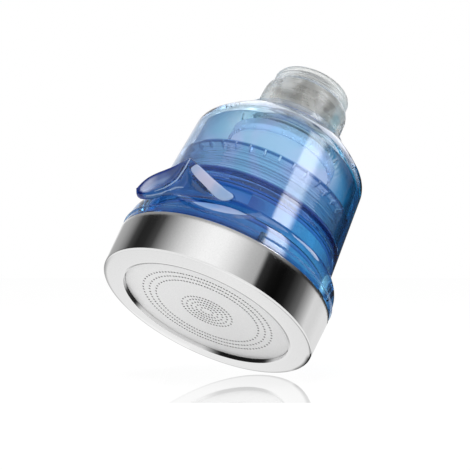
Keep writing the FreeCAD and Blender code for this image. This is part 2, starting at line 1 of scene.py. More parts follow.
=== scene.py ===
"""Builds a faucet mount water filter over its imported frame, as an add-on with one operator a piece."""
import math

import bmesh
import bpy
from mathutils import Matrix, Vector


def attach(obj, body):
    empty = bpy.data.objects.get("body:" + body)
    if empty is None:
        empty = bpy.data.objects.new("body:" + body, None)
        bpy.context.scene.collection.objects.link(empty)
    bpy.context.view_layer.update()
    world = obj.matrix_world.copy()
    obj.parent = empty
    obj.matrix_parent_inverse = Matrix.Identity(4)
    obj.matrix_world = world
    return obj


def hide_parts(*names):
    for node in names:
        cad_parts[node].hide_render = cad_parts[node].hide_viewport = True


bl_info = {
    "name": "Faucet Water Filter",
    "version": (1, 0, 0),
    "blender": (4, 5, 0),
    "location": "3D View > Sidebar > Water Filter",
    "description": "Dresses the frame of a faucet mount water filter in clear plastic and metal",
    "category": "Object",
}

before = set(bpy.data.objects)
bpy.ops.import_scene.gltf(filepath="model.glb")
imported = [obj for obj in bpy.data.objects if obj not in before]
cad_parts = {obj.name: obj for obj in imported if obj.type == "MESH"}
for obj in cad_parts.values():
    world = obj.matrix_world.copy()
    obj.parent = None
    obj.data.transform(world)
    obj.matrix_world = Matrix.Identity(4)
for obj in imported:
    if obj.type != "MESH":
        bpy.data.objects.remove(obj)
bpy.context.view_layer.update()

MM = 0.001
# Height in mm of the frame's origin over the spray face. All heights in mm are over that face
SHOULDER = 70.4
# The photo's camera: its place in metres and its axes
VIEW_FROM = (0, -0.3627, -0.2177)
VIEW_SIDE = Vector((0.9023, -0.1801, 0.3917))
VIEW_UP = Vector((-0.4311, -0.3876, 0.8149))
VIEW_BACK = Vector((0.0051, -0.9041, -0.4273))
NAVY = (0.008, 0.03, 0.2)
WEAR_DEPTH = 0.00002


def level(height):
    """Z in metres of a height in mm."""
    return (height - SHOULDER) * MM


def place(radius, height, angle):
    """Point in the frame from a radius and a height in mm."""
    return Vector((radius * math.sin(angle), -radius * math.cos(angle), height - SHOULDER)) * MM


# Light of the tent as (azimuth from the front in degrees, strength), in the bands that the ring, the body
# and the spray face mirror
RING_LIGHT = ((-180, 1.0), (-162, 0.95), (-150, 0.47), (-130, 0.37), (-120, 0.25), (-110, 0.06),
              (-100, 0.02), (-90, 0.024), (-80, 0.06), (-68, 0.31), (-50, 0.73), (-36, 0.95),
              (-25, 1.04), (-12, 1.02), (0, 0.84), (14, 0.55), (26, 0.43), (30, 0.03), (40, 0.006),
              (50, 0.003), (62, 0.012), (70, 0.05), (80, 0.14), (90, 0.42), (100, 0.76), (112, 0.74),
              (130, 0.83), (160, 0.78), (180, 0.93))
BODY_LIGHT = ((-180, 1.0), (-155, 0.9), (-125, 0.35), (-60, 0.3), (-40, 0.4), (-20, 0.5), (0, 0.5),
              (20, 0.4), (55, 0.15), (70, 0.04), (162, 0.04), (168, 1.0), (180, 1.0))
FACE_LIGHT = ((-180, 0.93), (-160, 0.85), (-145, 0.7), (-120, 0.21), (-90, 0.08), (-60, 0.015), (-45, 0.1),
              (-30, 0.40), (0, 0.80), (30, 0.95), (60, 0.85), (90, 0.37), (108, 0.05), (122, 0.015),
              (135, 0.1), (150, 0.5), (162, 0.85), (180, 0.93))

# Cards as (name, azimuths in degrees, heights in metres, strength, colour, radius, softness of the sides)
CARDS = (("softbox_right", (18, 50), (0.08, 0.27), 8.0, (0.92, 0.95, 1.0), 0.28, 0.1),
         ("softbox_back", (110, 250), (0.26, 0.6), 1.8, (0.95, 0.95, 1.0), 0.28, 0),
         ("card_low", (140, 158), (-0.135, 0.0), 0.01, (1, 1, 1), 0.28, 0),
         ("card_white", (-150, 136), (-0.8, -0.1), 0.92, (1, 1, 1), 0.285, 0),
         ("card_right", (110, 170), (0.0, 0.09), 1.15, (0.02, 0.38, 0.56), 0.1, 0.06),
         ("card_left", (-170, -110), (-0.04, 0.006), 1.0, (0.12, 0.3, 0.55), 0.1, 0.03))

# Rows of (height, radius) in mm that the lever keeps clear of
BODY_SIDE = ((11.5, 29.9), (15.4, 29.55), (18.2, 28.75), (20.6, 26.3), (30, 26.0))

# Side view of the lever as (along the lever, height) in mm
LEVER_TOP = ((-8.4, 20.0), (-8.0, 20.8), (-6.7, 21.1), (-2.6, 22.8), (1.2, 24.8), (4.8, 26.8), (6.9, 27.9),
             (8.8, 26.5), (10.7, 25.0), (12.7, 23.8), (15.3, 22.4), (17.2, 21.0), (18.3, 19.5),
             (18.9, 18.1), (19.15, 17.1))
LEVER_BOTTOM = ((-8.4, 19.6), (-8.1, 18.7), (-7.2, 17.8), (-6.0, 17.4), (-4.0, 17.1), (1.5, 16.4),
                (7.8, 15.9), (10.5, 15.5), (13.0, 14.8), (14.4, 14.65), (16.6, 14.65), (17.8, 14.95),
                (18.6, 15.6), (19.0, 16.3), (19.15, 17.0))
# Its front face as (along the lever, distance from the axis)
LEVER_PLANE = ((-8.4, 28.2), (-8.0, 28.5), (-6.8, 29.1), (-3.5, 29.9), (0.0, 30.2), (6.7, 30.2),
               (9.5, 29.8), (12.8, 29.1), (16.8, 28.1), (19.15, 27.4))
# Outlines of the pad's scoop, of the web between the bar and the pad, and of the wall below the web
LEVER_DISH = [(7.6, 26.8), (8.8, 25.9), (10.7, 24.3), (12.7, 23.0), (15.0, 21.7), (16.6, 20.3), (17.5, 18.7),
              (17.9, 17.1), (17.4, 16.1), (16.2, 15.7), (14.4, 15.9), (12.7, 16.8), (10.6, 18.2), (8.6, 20.2),
              (7.9, 22.9), (7.8, 25.0)]
LEVER_WEB = [(6.3, 25.4), (5.4, 23.2), (3.0, 21.2), (-0.9, 19.0), (-4.0, 17.9), (1.5, 16.9), (7.0, 16.5),
             (9.6, 16.7), (7.6, 18.6), (6.6, 20.6), (6.4, 22.9)]
LEVER_WALL = [(7.0, 16.5), (9.6, 16.7), (10.6, 18.2), (12.7, 16.8), (14.4, 15.9), (16.2, 15.0), (13.0, 14.3),
              (7.5, 15.2)]
# Lines along the pad's rim, the pale bar and the lower edge, and the pad's lip as (height, along the lever).
# The bar, the lower edge and the lip carry painted highlights.
LEVER_RIM = [*LEVER_TOP[7:13], (19.05, 17.4), (18.6, 15.6), (16.6, 14.65), (14.4, 14.65)]
LEVER_BAR = ((-8.0, 18.9), (-6.2, 19.2), (-4.0, 20.2), (-1.75, 21.5), (1.5, 23.3), (4.9, 25.2))
LEVER_SILL = ((5.3, 19.2), (6.3, 18.8), (9.7, 16.2), (13.0, 15.1), (15.0, 14.9))
LEVER_LIP = ((16.1, 13.0), (17.5, 10.2), (19.8, 7.9), (22.9, 7.15), (25.7, 6.95), (27.4, 6.9))

# Meshes


def rounded(corners, steps=5):
    """Profile of (radius, height) points. A third number on a corner is its rounding."""
    points = []
    count = len(corners)
    for index, corner in enumerate(corners):
        here = Vector(corner[:2])
        if len(corner) < 3 or corner[2] <= 0:
            points.append(here)
            continue
        before = Vector(corners[index - 1][:2]) - here
        after = Vector(corners[(index + 1) % count][:2]) - here
        half = before.angle(after) / 2
        cut = min(corner[2] / math.tan(half), before.length * 0.49, after.length * 0.49)
        start = here + before.normalized() * cut
        end = here + after.normalized() * cut
        for step in range(steps + 1):
            share = step / steps
            points.append(start.lerp(here, share).lerp(here.lerp(end, share), share))
    return [tuple(p) for p in points]


def along(table, x):
    """Smooth value at x from rows of (x, value)."""
    if x <= table[0][0]:
        return table[0][1]
    for index in range(1, len(table)):
        (x0, y0), (x1, y1) = table[index - 1], table[index]
        if x <= x1:
            before = table[max(index - 2, 0)]
            after = table[min(index + 1, len(table) - 1)]
            slope0 = (y1 - before[1]) / (x1 - before[0])
            slope1 = (after[1] - y0) / (after[0] - x0)
            width = x1 - x0
            t = (x - x0) / width
            return ((2 * t ** 3 - 3 * t ** 2 + 1) * y0 + (t ** 3 - 2 * t ** 2 + t) * slope0 * width
                    + (3 * t ** 2 - 2 * t ** 3) * y1 + (t ** 3 - t ** 2) * slope1 * width)
    return table[-1][1]


def ease(low, high, x):
    """Smooth step from 0 at low to 1 at high."""
    t = min(max((x - low) / (high - low), 0.0), 1.0)
    return t * t * (3 - 2 * t)


def gap_to(line, s, z):
    """Distance of a point from an open line of points."""
    best = 1e9
    for (s0, z0), (s1, z1) in zip(line, line[1:]):
        length = (s1 - s0) ** 2 + (z1 - z0) ** 2
        t = min(max(((s - s0) * (s1 - s0) + (z - z0) * (z1 - z0)) / length, 0.0), 1.0)
        best = min(best, math.hypot(s - s0 - t * (s1 - s0), z - z0 - t * (z1 - z0)))
    return best


def inside(outline, s, z):
    """Says if a point lies in a closed outline."""
    hit = False
    for index, (s1, z1) in enumerate(outline):
        s0, z0 = outline[index - 1]
        if (z0 > z) != (z1 > z) and s < s0 + (z - z0) * (s1 - s0) / (z1 - z0):
            hit = not hit
    return hit


def add_object(name, data):
    """New object in the scene."""
    piece = bpy.data.objects.new(name, data)
    bpy.context.scene.collection.objects.link(piece)
    return piece


def finish_mesh(bm, name, sharp=35.0):
    """Turns a bmesh into a linked object with its faces smooth up to an angle."""
    bmesh.ops.remove_doubles(bm, verts=bm.verts, dist=1e-7)
    bmesh.ops.recalc_face_normals(bm, faces=bm.faces)
    mesh = bpy.data.meshes.new(name)
    bm.to_mesh(mesh)
    bm.free()
    mesh.polygons.foreach_set("use_smooth", [True] * len(mesh.polygons))
    mesh.set_sharp_from_angle(angle=math.radians(sharp))
    return add_object(name, mesh)


def spun(name, profile, segments=192, sharp=35.0):
    """Closed profile of (radius, height) in mm turned about the long axis."""
    bm = bmesh.new()
    verts = [bm.verts.new((r * MM, 0.0, level(h))) for r, h in profile]
    edges = [bm.edges.new((verts[i - 1], verts[i])) for i in range(len(verts))]
    bmesh.ops.spin(bm, geom=verts + edges, axis=(0, 0, 1), angle=2 * math.pi, steps=segments, use_merge=True)
    return finish_mesh(bm, name, sharp)


# Materials


def feed(tree, sockets, values):
    """Links sockets to other nodes' outputs, or sets them to plain values, in order."""
    for socket, value in zip(sockets, values):
        if isinstance(value, bpy.types.NodeSocket):
            tree.links.new(value, socket)
        else:
            socket.default_value = value


def add_node(tree, kind, **values):
    """Shader node with inputs fed by name, where _ stands for a space."""
    node = tree.nodes.new("ShaderNode" + kind)
    feed(tree, [node.inputs[label.replace("_", " ")] for label in values], values.values())
    return node


def bare_material(name):
    """Material with no shader yet, its tree and the socket for its surface."""
    material = bpy.data.materials.new(name)
    material.use_nodes = True
    tree = material.node_tree
    tree.nodes.clear()
    return material, tree, add_node(tree, "OutputMaterial").inputs["Surface"]


def new_material(name, **values):
    """Material with a Principled shader that is given values, its tree and the shader."""
    material, tree, surface = bare_material(name)
    shader = add_node(tree, "BsdfPrincipled", **values)
    tree.links.new(shader.outputs["BSDF"], surface)
    return material, tree, shader


def mix_shaders(tree, share, first, second):
    """Output of a mix of two shaders by a share."""
    mix = add_node(tree, "MixShader")
    feed(tree, mix.inputs, (share, first, second))
    return mix.outputs[0]


def calc(tree, operation, *values):
    """Output of a Math node that is fed with sockets or plain numbers."""
    node = add_node(tree, "Math")
    node.operation = operation
    feed(tree, node.inputs, values)
    return node.outputs[0]


def product(tree, first, *others):
    """Output of values multiplied in order."""
    for value in others:
        first = calc(tree, "MULTIPLY", first, value)
    return first


def falling(tree, mask, share=1.0):
    """Mask that falls from share to 0 while another rises from 0 to 1."""
    return calc(tree, "SUBTRACT", share, product(tree, mask, share))


def smooth(tree, value, low, high, start=0.0, end=1.0):
    """Output of a smooth step from start to end while value goes from low to high."""
    node = add_node(tree, "MapRange", Value=value, From_Min=low, From_Max=high, To_Min=start, To_Max=end)
    node.interpolation_type = "SMOOTHSTEP"
    return node.outputs["Result"]


def blend(tree, share, first, second):
    """Output of a colour mix between sockets or plain colours."""
    node = add_node(tree, "Mix")
    node.data_type = "RGBA"
    colours = [(*colour, 1) if isinstance(colour, tuple) else colour for colour in (first, second)]
    feed(tree, [node.inputs[index] for index in (0, 6, 7)], (share, *colours))
    return node.outputs[2]


def on_piece(tree):
    """Place on a piece along its own axes."""
    return add_node(tree, "TexCoord").outputs["Object"]


def spot_on(tree):
    """X, Y and Z of the place on a piece."""
    return add_node(tree, "SeparateXYZ", Vector=on_piece(tree)).outputs


def noise_at(tree, scale, detail, stretch=(1, 1, 1), distortion=0.0):
    """Output of a noise over a piece, stretched along its axes."""
    mapping = add_node(tree, "Mapping", Vector=on_piece(tree), Scale=stretch)
    return add_node(tree, "TexNoise", Vector=mapping.outputs["Vector"], Scale=scale, Detail=detail,
                    Distortion=distortion).outputs["Fac"]


def effect(tree, name, made, build, **given):
    """Outputs of a node group that is made once, with its inputs set.

    build takes the group, its inputs and the place on the piece, and gives the outputs in order.
    """
    group = bpy.data.node_groups.get(name)
    if group is None:
        group = bpy.data.node_groups.new(name, "ShaderNodeTree")
        for label in given:
            group.interface.new_socket(label, in_out="INPUT", socket_type="NodeSocketFloat")
        for label in made:
            group.interface.new_socket(label, in_out="OUTPUT", socket_type="NodeSocketFloat")
        entry = group.nodes.new("NodeGroupInput")
        leave = group.nodes.new("NodeGroupOutput")
        for label, socket in zip(made, build(group, entry.outputs, spot_on(group))):
            group.links.new(socket, leave.inputs[label])
    node = tree.nodes.new("ShaderNodeGroup")
    node.node_tree = group
    feed(tree, [node.inputs[label] for label in given], given.values())
    return node.outputs


def mask_of(tree, name, build, **given):
    """Output of a shared effect that makes one mask."""
    return effect(tree, name, ("Mask",), build, **given)["Mask"]


def wear(group, given, spot):
    """Roughness that varies over a surface, and the noise behind it as a height."""
    noise = add_node(group, "TexNoise", Vector=on_piece(group), Scale=given["Scale"], Detail=4)
    height = noise.outputs["Fac"]
    return smooth(group, height, 0.25, 0.75, given["Low"], given["High"]), height


def axis_distance(tree, spot):
    """Distance from the long axis."""
    squares = [product(tree, spot[axis], spot[axis]) for axis in "XY"]
    return calc(tree, "SQRT", calc(tree, "ADD", *squares))


def lines_across(group, value, given, start, end):
    """Soft lines that repeat every Pitch while a value goes from Low to High."""
    band = product(group, calc(group, "GREATER_THAN", value, given["Low"]),
                   calc(group, "LESS_THAN", value, given["High"]))
    wave = calc(group, "PINGPONG", value, product(group, given["Pitch"], 0.5))
    return product(group, band, smooth(group, wave, start, end))


def thread(group, given, spot):
    """Thread lines between two heights."""
    return (lines_across(group, spot["Z"], given, 0.00015, 0.00045),)


def circles(group, given, spot):
    """Circles between two radii on the faces above a height."""
    lines = lines_across(group, axis_distance(group, spot), given, 0.0001, 0.0004)
    return (product(group, lines, calc(group, "GREATER_THAN", spot["Z"], given["Above"])),)


def collar_edge(group, given, spot):
    """Thin line round the collar's top with a short tick down at each slot."""
    beat = calc(group, "PINGPONG", calc(group, "ARCTAN2", spot["X"], spot["Y"]), math.radians(5))
    tick = product(group, calc(group, "LESS_THAN", beat, math.radians(0.5)),
                   calc(group, "GREATER_THAN", spot["Z"], given["Foot"]))
    line = calc(group, "GREATER_THAN", spot["Z"], given["Edge"])
    outside = calc(group, "GREATER_THAN", axis_distance(group, spot), given["Inner"])
    return (product(group, calc(group, "MAXIMUM", tick, line), outside),)


def ramp_along(axis):
    """Builder of a mask that goes from 0 at Low to 1 at High along an axis."""
    return lambda group, given, spot: (smooth(group, spot[axis], given["Low"], given["High"]),)


def height_share(tree, low, high):
    """Mask from 0 to 1 between two heights in mm."""
    return mask_of(tree, "height_share", ramp_along("Z"), Low=level(low), High=level(high))


def side_share(tree, low, high):
    """Mask from 0 to 1 between two places along the X axis in mm."""
    return mask_of(tree, "side_share", ramp_along("X"), Low=low * MM, High=high * MM)


def add_wear(tree, shader, scale, low, high, bump):
    """Roughness between low and high with a fine bump. Gives the noise behind them."""
    worn = effect(tree, "surface_wear", ("Roughness", "Height"), wear, Scale=scale, Low=low, High=high)
    tree.links.new(worn["Roughness"], shader.inputs["Roughness"])
    add_bump(tree, shader, worn["Height"], bump, WEAR_DEPTH)
    return worn["Height"]


def add_bump(tree, shader, height, strength, depth):
    """Bump laid over the shader's bump so far."""
    node = add_node(tree, "Bump", Strength=strength, Distance=depth, Height=height)
    if shader.inputs["Normal"].links:
        tree.links.new(shader.inputs["Normal"].links[0].from_socket, node.inputs["Normal"])
    tree.links.new(node.outputs["Normal"], shader.inputs["Normal"])


def turned_away(tree):
    """How far a surface turns away from sight, from 0 to 1."""
    return add_node(tree, "LayerWeight", Blend=0.5).outputs["Facing"]


def tinted(tree, pale, deep, flow):
    """Colour that drifts over a clear piece and deepens towards its rims."""
    rim = calc(tree, "POWER", turned_away(tree), 3.0)
    if flow:
        drift = smooth(tree, noise_at(tree, 55, 2, distortion=1.2), 0.4, 0.6)
        pale = blend(tree, drift, pale, flow)
    return blend(tree, rim, pale, deep)


def let_light_in(tree, shader):
    """Shadow and diffuse rays pass straight through a clear piece, so what it holds is lit."""
    plastic = shader.outputs["BSDF"]
    surface = plastic.links[0].to_socket
    path = add_node(tree, "LightPath").outputs
    passed = add_node(tree, "BsdfTransparent", Color=(0.9, 0.95, 1.0, 1))
    straight = calc(tree, "MAXIMUM", path["Is Shadow Ray"], path["Is Diffuse Ray"])
    tree.links.new(mix_shaders(tree, straight, plastic, passed.outputs[0]), surface)


def lay_colour(tree, shader, colour, marks):
    """Base colour with the colours that marks gives laid over it by their masks."""
    for mask, mark in marks(tree, shader) if marks else ():
        colour = blend(tree, mask, colour, mark)
    tree.links.new(colour, shader.inputs["Base Color"])


def clear_plastic(name, pale, deep, flow=None, low=0.01, high=0.03, weight=1.0, marks=None, coat=1.5):
    """Clear plastic, made once. marks gives pairs of a mask and a colour to lay over its tint."""
    if name in bpy.data.materials:
        return bpy.data.materials[name]
    material, tree, shader = new_material(name, Metallic=0, Transmission_Weight=weight, IOR=1.06,
                                          Coat_Weight=1.0, Coat_Roughness=0.02, Coat_IOR=coat)
    add_wear(tree, shader, 260, low, high, 0.03)
    lay_colour(tree, shader, tinted(tree, pale, deep, flow), marks)
    let_light_in(tree, shader)
    return material


def attribute(tree, name):
    """Value that the mesh holds at each corner."""
    node = add_node(tree, "Attribute")
    node.attribute_name = name
    return node.outputs["Fac"]


def lever_marks(tree, shader):
    """Navy where the lever's rim is thick."""
    return [(attribute(tree, "thick"), NAVY)]


def dish_marks(tree, shader):
    """Navy rim and pale tip of the thumb pad; the pale tip is a painted highlight."""
    return [(attribute(tree, "thick"), NAVY), (attribute(tree, "tip"), (0.42, 0.45, 0.58))]


def edge_shade(group, given, spot):
    """Painted shade on rims that turn away from sight, stronger on the shaded right."""
    right = smooth(group, spot["X"], 0.0, 0.02, given["Left"], 1.0)
    return (product(group, smooth(group, turned_away(group), given["From"], given["To"]), right),)


def rim_shade(tree, start, end, left):
    """Mask of painted shade on the rims, from start to end of their turn away, with its share on the left."""
    return mask_of(tree, "edge_shade", edge_shade, From=start, To=end, Left=left)


def dome_marks(tree, shader):
    """Painted highlight on the pale top, fine circles, and painted shade on the rims, mostly on the right."""
    lines = mask_of(tree, "circles", circles, Low=12.8 * MM, High=18.0 * MM, Pitch=1.1 * MM,
                    Above=level(56.5))
    add_bump(tree, shader, lines, 0.3, 0.0002)
    # The pale top from 52.5 to 60 mm is a painted highlight where the shoulder mirrors the light; the rims
    # get painted shade
    return [(height_share(tree, 52.5, 60.0), (0.92, 0.95, 1.0)), (lines, (0.95, 0.96, 1.0)),
            (rim_shade(tree, 0.4, 0.72, 0.12), (0.0, 0.03, 0.12))]


def body_marks(tree, shader):
    """Thread and slots of the collar, and the blues of the waist, the seam below the collar and the foot. The
    waist is painted darker on the left and lighter to the right as painted shade and light, and the rims get
    painted shade.
    """
    lines = mask_of(tree, "thread_lines", thread, Low=level(28.9), High=level(37.2), Pitch=0.9 * MM)
    edge = mask_of(tree, "collar_edge", collar_edge, Foot=level(37.1), Edge=level(38.0), Inner=23.75 * MM)
    add_bump(tree, shader, lines, 0.7, 0.0003)
    collar = product(tree, height_share(tree, 28.6, 29.2), 0.5)
    waist = falling(tree, height_share(tree, 27.5, 28.8), 0.75)
    # Painted shade and light: the waist goes from a deep blue on the left to a pale cyan on the right
    waist_painted_shade_to_light = blend(tree, side_share(tree, 3, 16), (0.12, 0.36, 0.66), (0.24, 0.72, 0.95))
    seam = product(tree, height_share(tree, 25.9, 26.5), falling(tree, height_share(tree, 28.2, 28.5), 0.85))
    foot = falling(tree, height_share(tree, 12.0, 12.9), 0.8)
    # rim_shade lays painted shade on the rims, mostly on the right
    return [(collar, (0.75, 0.86, 0.93)), (waist, waist_painted_shade_to_light), (seam, (0.01, 0.11, 0.5)),
            (foot, (0.01, 0.1, 0.42)), (rim_shade(tree, 0.35, 0.8, 0.8), (0.01, 0.09, 0.34)),
            (lines, (0.34, 0.43, 0.56)), (edge, (0.01, 0.08, 0.3))]


def ring_shade(group, given, spot):
    """Painted dark reflections on stretches of the opening's wall and on the rim's outer edge, and a painted
    shadow line on the opening's front edge.
    """
    angle = calc(group, "ARCTAN2", spot["X"], product(group, spot["Y"], -1.0))
    radius = axis_distance(group, spot)

    def stretch(*degrees):
        """Mask over an arc that starts, is full, fades and ends at four azimuths."""
        start, full, fade, end = [math.radians(azimuth) for azimuth in degrees]
        return product(group, smooth(group, angle, start, full), smooth(group, angle, fade, end, 1.0, 0.0))

    wall = product(group, calc(group, "LESS_THAN", radius, given["Wall"]),
                   calc(group, "ADD", stretch(-138, -127, -114, -103), stretch(110, 124, 158, 174)))
    line = product(group, calc(group, "LESS_THAN", radius, given["Line"]), stretch(-85, -60, 60, 85), 0.6)
    far = calc(group, "MAXIMUM", stretch(78, 86, 104, 114),
               falling(group, stretch(-95, -70, 95, 120), 0.6))
    outer = product(group, far, smooth(group, radius, given["Rim"], calc(group, "ADD", given["Rim"], MM)),
                    calc(group, "LESS_THAN", spot["Z"], given["Top"]))
    return (calc(group, "MAXIMUM", calc(group, "MAXIMUM", wall, outer), line),)


def ring_marks(tree, shader):
    """Painted dark reflections and a painted shadow line on the metal ring."""
    shade = mask_of(tree, "ring_shade", ring_shade, Wall=23.5 * MM, Line=23.95 * MM, Rim=28.1 * MM,
                    Top=level(0.9))
    return [(shade, (0.015, 0.015, 0.015))]


def rotor_marks(tree, shader):
    """Painted shade: a dark band behind the lever's slot, on its left."""
    band = product(tree, height_share(tree, 20.4, 20.8), falling(tree, height_share(tree, 24.6, 25.0)))
    left = falling(tree, side_share(tree, -2, 5), 0.9)
    return [(product(tree, band, left), (0.015, 0.08, 0.28))]


def plain_finish(name, colour, low, high, metallic=0.0, scale=400, variation=0.08, bump=0.1, marks=None):
    """Opaque finish whose colour and roughness vary a little."""
    material, tree, shader = new_material(name, Metallic=metallic)
    grain = add_wear(tree, shader, scale, low, high, bump)
    worn = tuple(c * (1 - variation) for c in colour)
    lay_colour(tree, shader, blend(tree, grain, worn, colour), marks)
    return material


def streaked_clear(name):
    """Clear plastic with the cloudy streaks of a moulded thread."""
    material, tree, shader = new_material(name, Metallic=0, Transmission_Weight=0.85, IOR=1.4)
    streaks = noise_at(tree, 1.0, 5, (80, 80, 900))
    clouds = noise_at(tree, 130, 4, distortion=0.6)
    upper = height_share(tree, 69.0, 71.5)
    grain = calc(tree, "ADD", product(tree, streaks, calc(tree, "ADD", upper, 0.25)),
                 product(tree, clouds, falling(tree, upper, 0.75)))
    tint = blend(tree, smooth(tree, grain, 0.35, 0.65), (0.34, 0.335, 0.315), (0.95, 0.94, 0.90))
    tree.links.new(tint, shader.inputs["Base Color"])
    tree.links.new(smooth(tree, grain, 0.3, 0.7, 0.12, 0.45), shader.inputs["Roughness"])
    add_bump(tree, shader, grain, 0.5, 0.0001)
    let_light_in(tree, shader)
    return material


def dress(piece, *materials):
    """Adds materials to a piece in order."""
    for material in materials:
        piece.data.materials.append(material)


def finish_nodes(material, *nodes):
    """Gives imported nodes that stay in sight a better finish."""
    for node in nodes:
        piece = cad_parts[node]
        piece.data.materials.clear()
        dress(piece, material)


# Settings


class WaterFilterSettings(bpy.types.PropertyGroup):
    """Sizes and colours of the filter"""

    ring_radius: bpy.props.FloatProperty(
        name="Ring radius", description="Radius of the metal ring at its top edge",
        default=0.030, min=0.01, max=0.1, subtype="DISTANCE")
    ring_height: bpy.props.FloatProperty(
        name="Ring height", description="Height of the metal ring",
        default=0.0112, min=0.002, max=0.05, subtype="DISTANCE")
    blue: bpy.props.FloatVectorProperty(
        name="Blue plastic", description="Colour of the clear blue plastic seen square on",
        default=(0.54, 0.68, 0.86), size=3, min=0, max=1, subtype="COLOR")
    deep_blue: bpy.props.FloatVectorProperty(
        name="Blue rim", description="Colour of the clear blue plastic where it turns away",
        default=(0.04, 0.14, 0.45), size=3, min=0, max=1, subtype="COLOR")
    cyan: bpy.props.FloatVectorProperty(
        name="Blue drift", description="Colour that the blue plastic drifts to in soft patches",
        default=(0.42, 0.69, 0.82), size=3, min=0, max=1, subtype="COLOR")
    hole_radius: bpy.props.FloatProperty(
        name="Hole radius", description="Radius of the fine holes in the spray plate",
        default=0.0003, min=0.00005, max=0.001, precision=5, subtype="DISTANCE")
    hole_pitch: bpy.props.FloatProperty(
        name="Hole pitch", description="Distance between neighbouring holes on a ring in the photo's view",
        default=0.00078, min=0.0002, max=0.01, precision=5, subtype="DISTANCE")


def settings():
    return bpy.context.scene.water_filter


def clear_material(s, name="blue_clear_finish", **changes):
    """Clear blue plastic in the colours of the settings."""
    return clear_plastic(name, tuple(s.blue), tuple(s.deep_blue), flow=tuple(s.cyan), **changes)


def shaded_material(name, pale, flow, marks=None):
    """Cloudy plastic of the lever's hollows, dark with painted shade."""
    return clear_plastic(name, pale, pale, flow=flow, low=0.25, high=0.4, weight=0.4, marks=marks)


def skin(name, spot, blunt=0.25, power=4, wide=8):
    """Thin closed frosted pillow, pale as a painted highlight: spot(x, y, lift) places a point, with x and y
    within -1 and 1.

    power and blunt shape its ends, and wide is its number of faces across.
    """
    bm = bmesh.new()
    bmesh.ops.create_grid(bm, x_segments=48, y_segments=2 * wide, size=1)
    for vert in bm.verts:
        x = math.sin(math.pi / 2 * vert.co.x)
        y = 1 - 2 * abs(vert.co.y)
        width = max(0.0, 1 - abs(x) ** power) ** blunt
        lift = math.sqrt(max(0.0, 1 - y * y)) * min(width, 1.0) if vert.co.y < 0 else 0.0
        vert.co = spot(x, y * width, lift)
    piece = finish_mesh(bm, name, sharp=70)
    # The pale skin is a painted highlight
    dress(piece, clear_plastic("painted_highlight_blue", (0.24, 0.34, 0.50), (0.15, 0.25, 0.5),
                               flow=(0.42, 0.42, 0.54), low=0.3, high=0.45, weight=0.35))
    return piece


# Pieces


class WATERFILTER_OT_trim_ring(bpy.types.Operator):
    """Turns the polished ring with its crowned inward rim"""

    bl_idname = "water_filter.trim_ring"
    bl_label = "Trim Ring"

    def execute(self, context):
        s = settings()
        r, h = s.ring_radius / MM, s.ring_height / MM
        bore, land, crown, wall = 23.4, 24.4, -0.4, 1.2
        profile = rounded([(bore, crown, 0.2), (land, crown, 3.0), (r - 0.5, 0, 0.8), (r, h, 0.1),
                           (r - wall, h, 0.2), (r - wall, wall, 0.3), (bore, wall, 0.2)])
        ring = spun("polished_ring", profile, 256)
        dress(ring, plain_finish("polished_metal_finish", (0.90, 0.90, 0.90), 0.04, 0.07, metallic=1.0,
                                 scale=2500, variation=0.1, bump=0.03, marks=ring_marks))
        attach(ring, "base")
        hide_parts("trim_ring")
        return {"FINISHED"}


class WATERFILTER_OT_spray_plate(bpy.types.Operator):
    """Makes the spray plate with its rings of fine holes"""

    bl_idname = "water_filter.spray_plate"
    bl_label = "Spray Plate"

    # In mm: the height of the plate's face, its thickness and radius, and the radii of its rings of holes
    face_z, thickness, plate_r = 0.75, 1.0, 23.35
    hole_rings = (18.25, 16.4, 14.55, 7.1, 5.75, 4.4, 3.1, 1.75)

    def spots(self, radius, pitch):
        """Hole centres on a ring, spaced evenly as the photo's view shows them."""
        steps = 720
        ring = [place(radius, self.face_z, 2 * math.pi * step / steps) for step in range(steps + 1)]
        flat = [(spot.dot(VIEW_SIDE), spot.dot(VIEW_UP)) for spot in ring]
        walked = [0.0]
        for (x0, y0), (x1, y1) in zip(flat, flat[1:]):
            walked.append(walked[-1] + math.hypot(x1 - x0, y1 - y0) / MM)
        count = round(walked[-1] / pitch)
        centres, step = [], 0
        for index in range(count):
            while walked[step + 1] < index * walked[-1] / count:
                step += 1
            centres.append(ring[step])
        return centres

    def execute(self, context):
        s = settings()
        bm = bmesh.new()
        bmesh.ops.create_circle(bm, segments=192, radius=self.plate_r * MM,
                                matrix=Matrix.Translation((0, 0, level(self.face_z))))
        for radius in self.hole_rings:
            for centre in self.spots(radius, s.hole_pitch / MM):
                bmesh.ops.create_circle(bm, segments=6, radius=s.hole_radius,
                                        matrix=Matrix.Translation(centre))
        bmesh.ops.triangle_fill(bm, use_beauty=True, edges=bm.edges[:])
        lifted = bmesh.ops.extrude_face_region(bm, geom=bm.faces[:], use_keep_orig=True)
        moved = [item for item in lifted["geom"] if isinstance(item, bmesh.types.BMVert)]
        bmesh.ops.translate(bm, vec=(0, 0, self.thickness * MM), verts=moved)
        for face in bm.faces:
            heights = [vert.co.z for vert in face.verts]
            upright = max(heights) - min(heights) > self.thickness * MM / 2
            if upright and max(vert.co.xy.length for vert in face.verts) < (self.plate_r - 1) * MM:
                face.material_index = 1
        plate = finish_mesh(bm, "pierced_plate")
        flange = spun("plate_flange", [(22.2, 1.75), (23.2, 1.75), (23.2, 1.4), (27.2, 1.4),
                                       (27.2, 2.4), (22.2, 2.4)], 128)
        steel = plain_finish("plate_steel_finish", (0.96, 0.96, 0.96), 0.45, 0.6, metallic=0.3,
                             scale=3500, variation=0.28, bump=0.1)
        shade = plain_finish("hole_shade_finish", (0.006, 0.006, 0.006), 0.85, 0.95)
        dress(plate, steel, shade)
        dress(flange, steel)
        for piece in (plate, flange):
            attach(piece, "base")
        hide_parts("spray_plate")
        return {"FINISHED"}


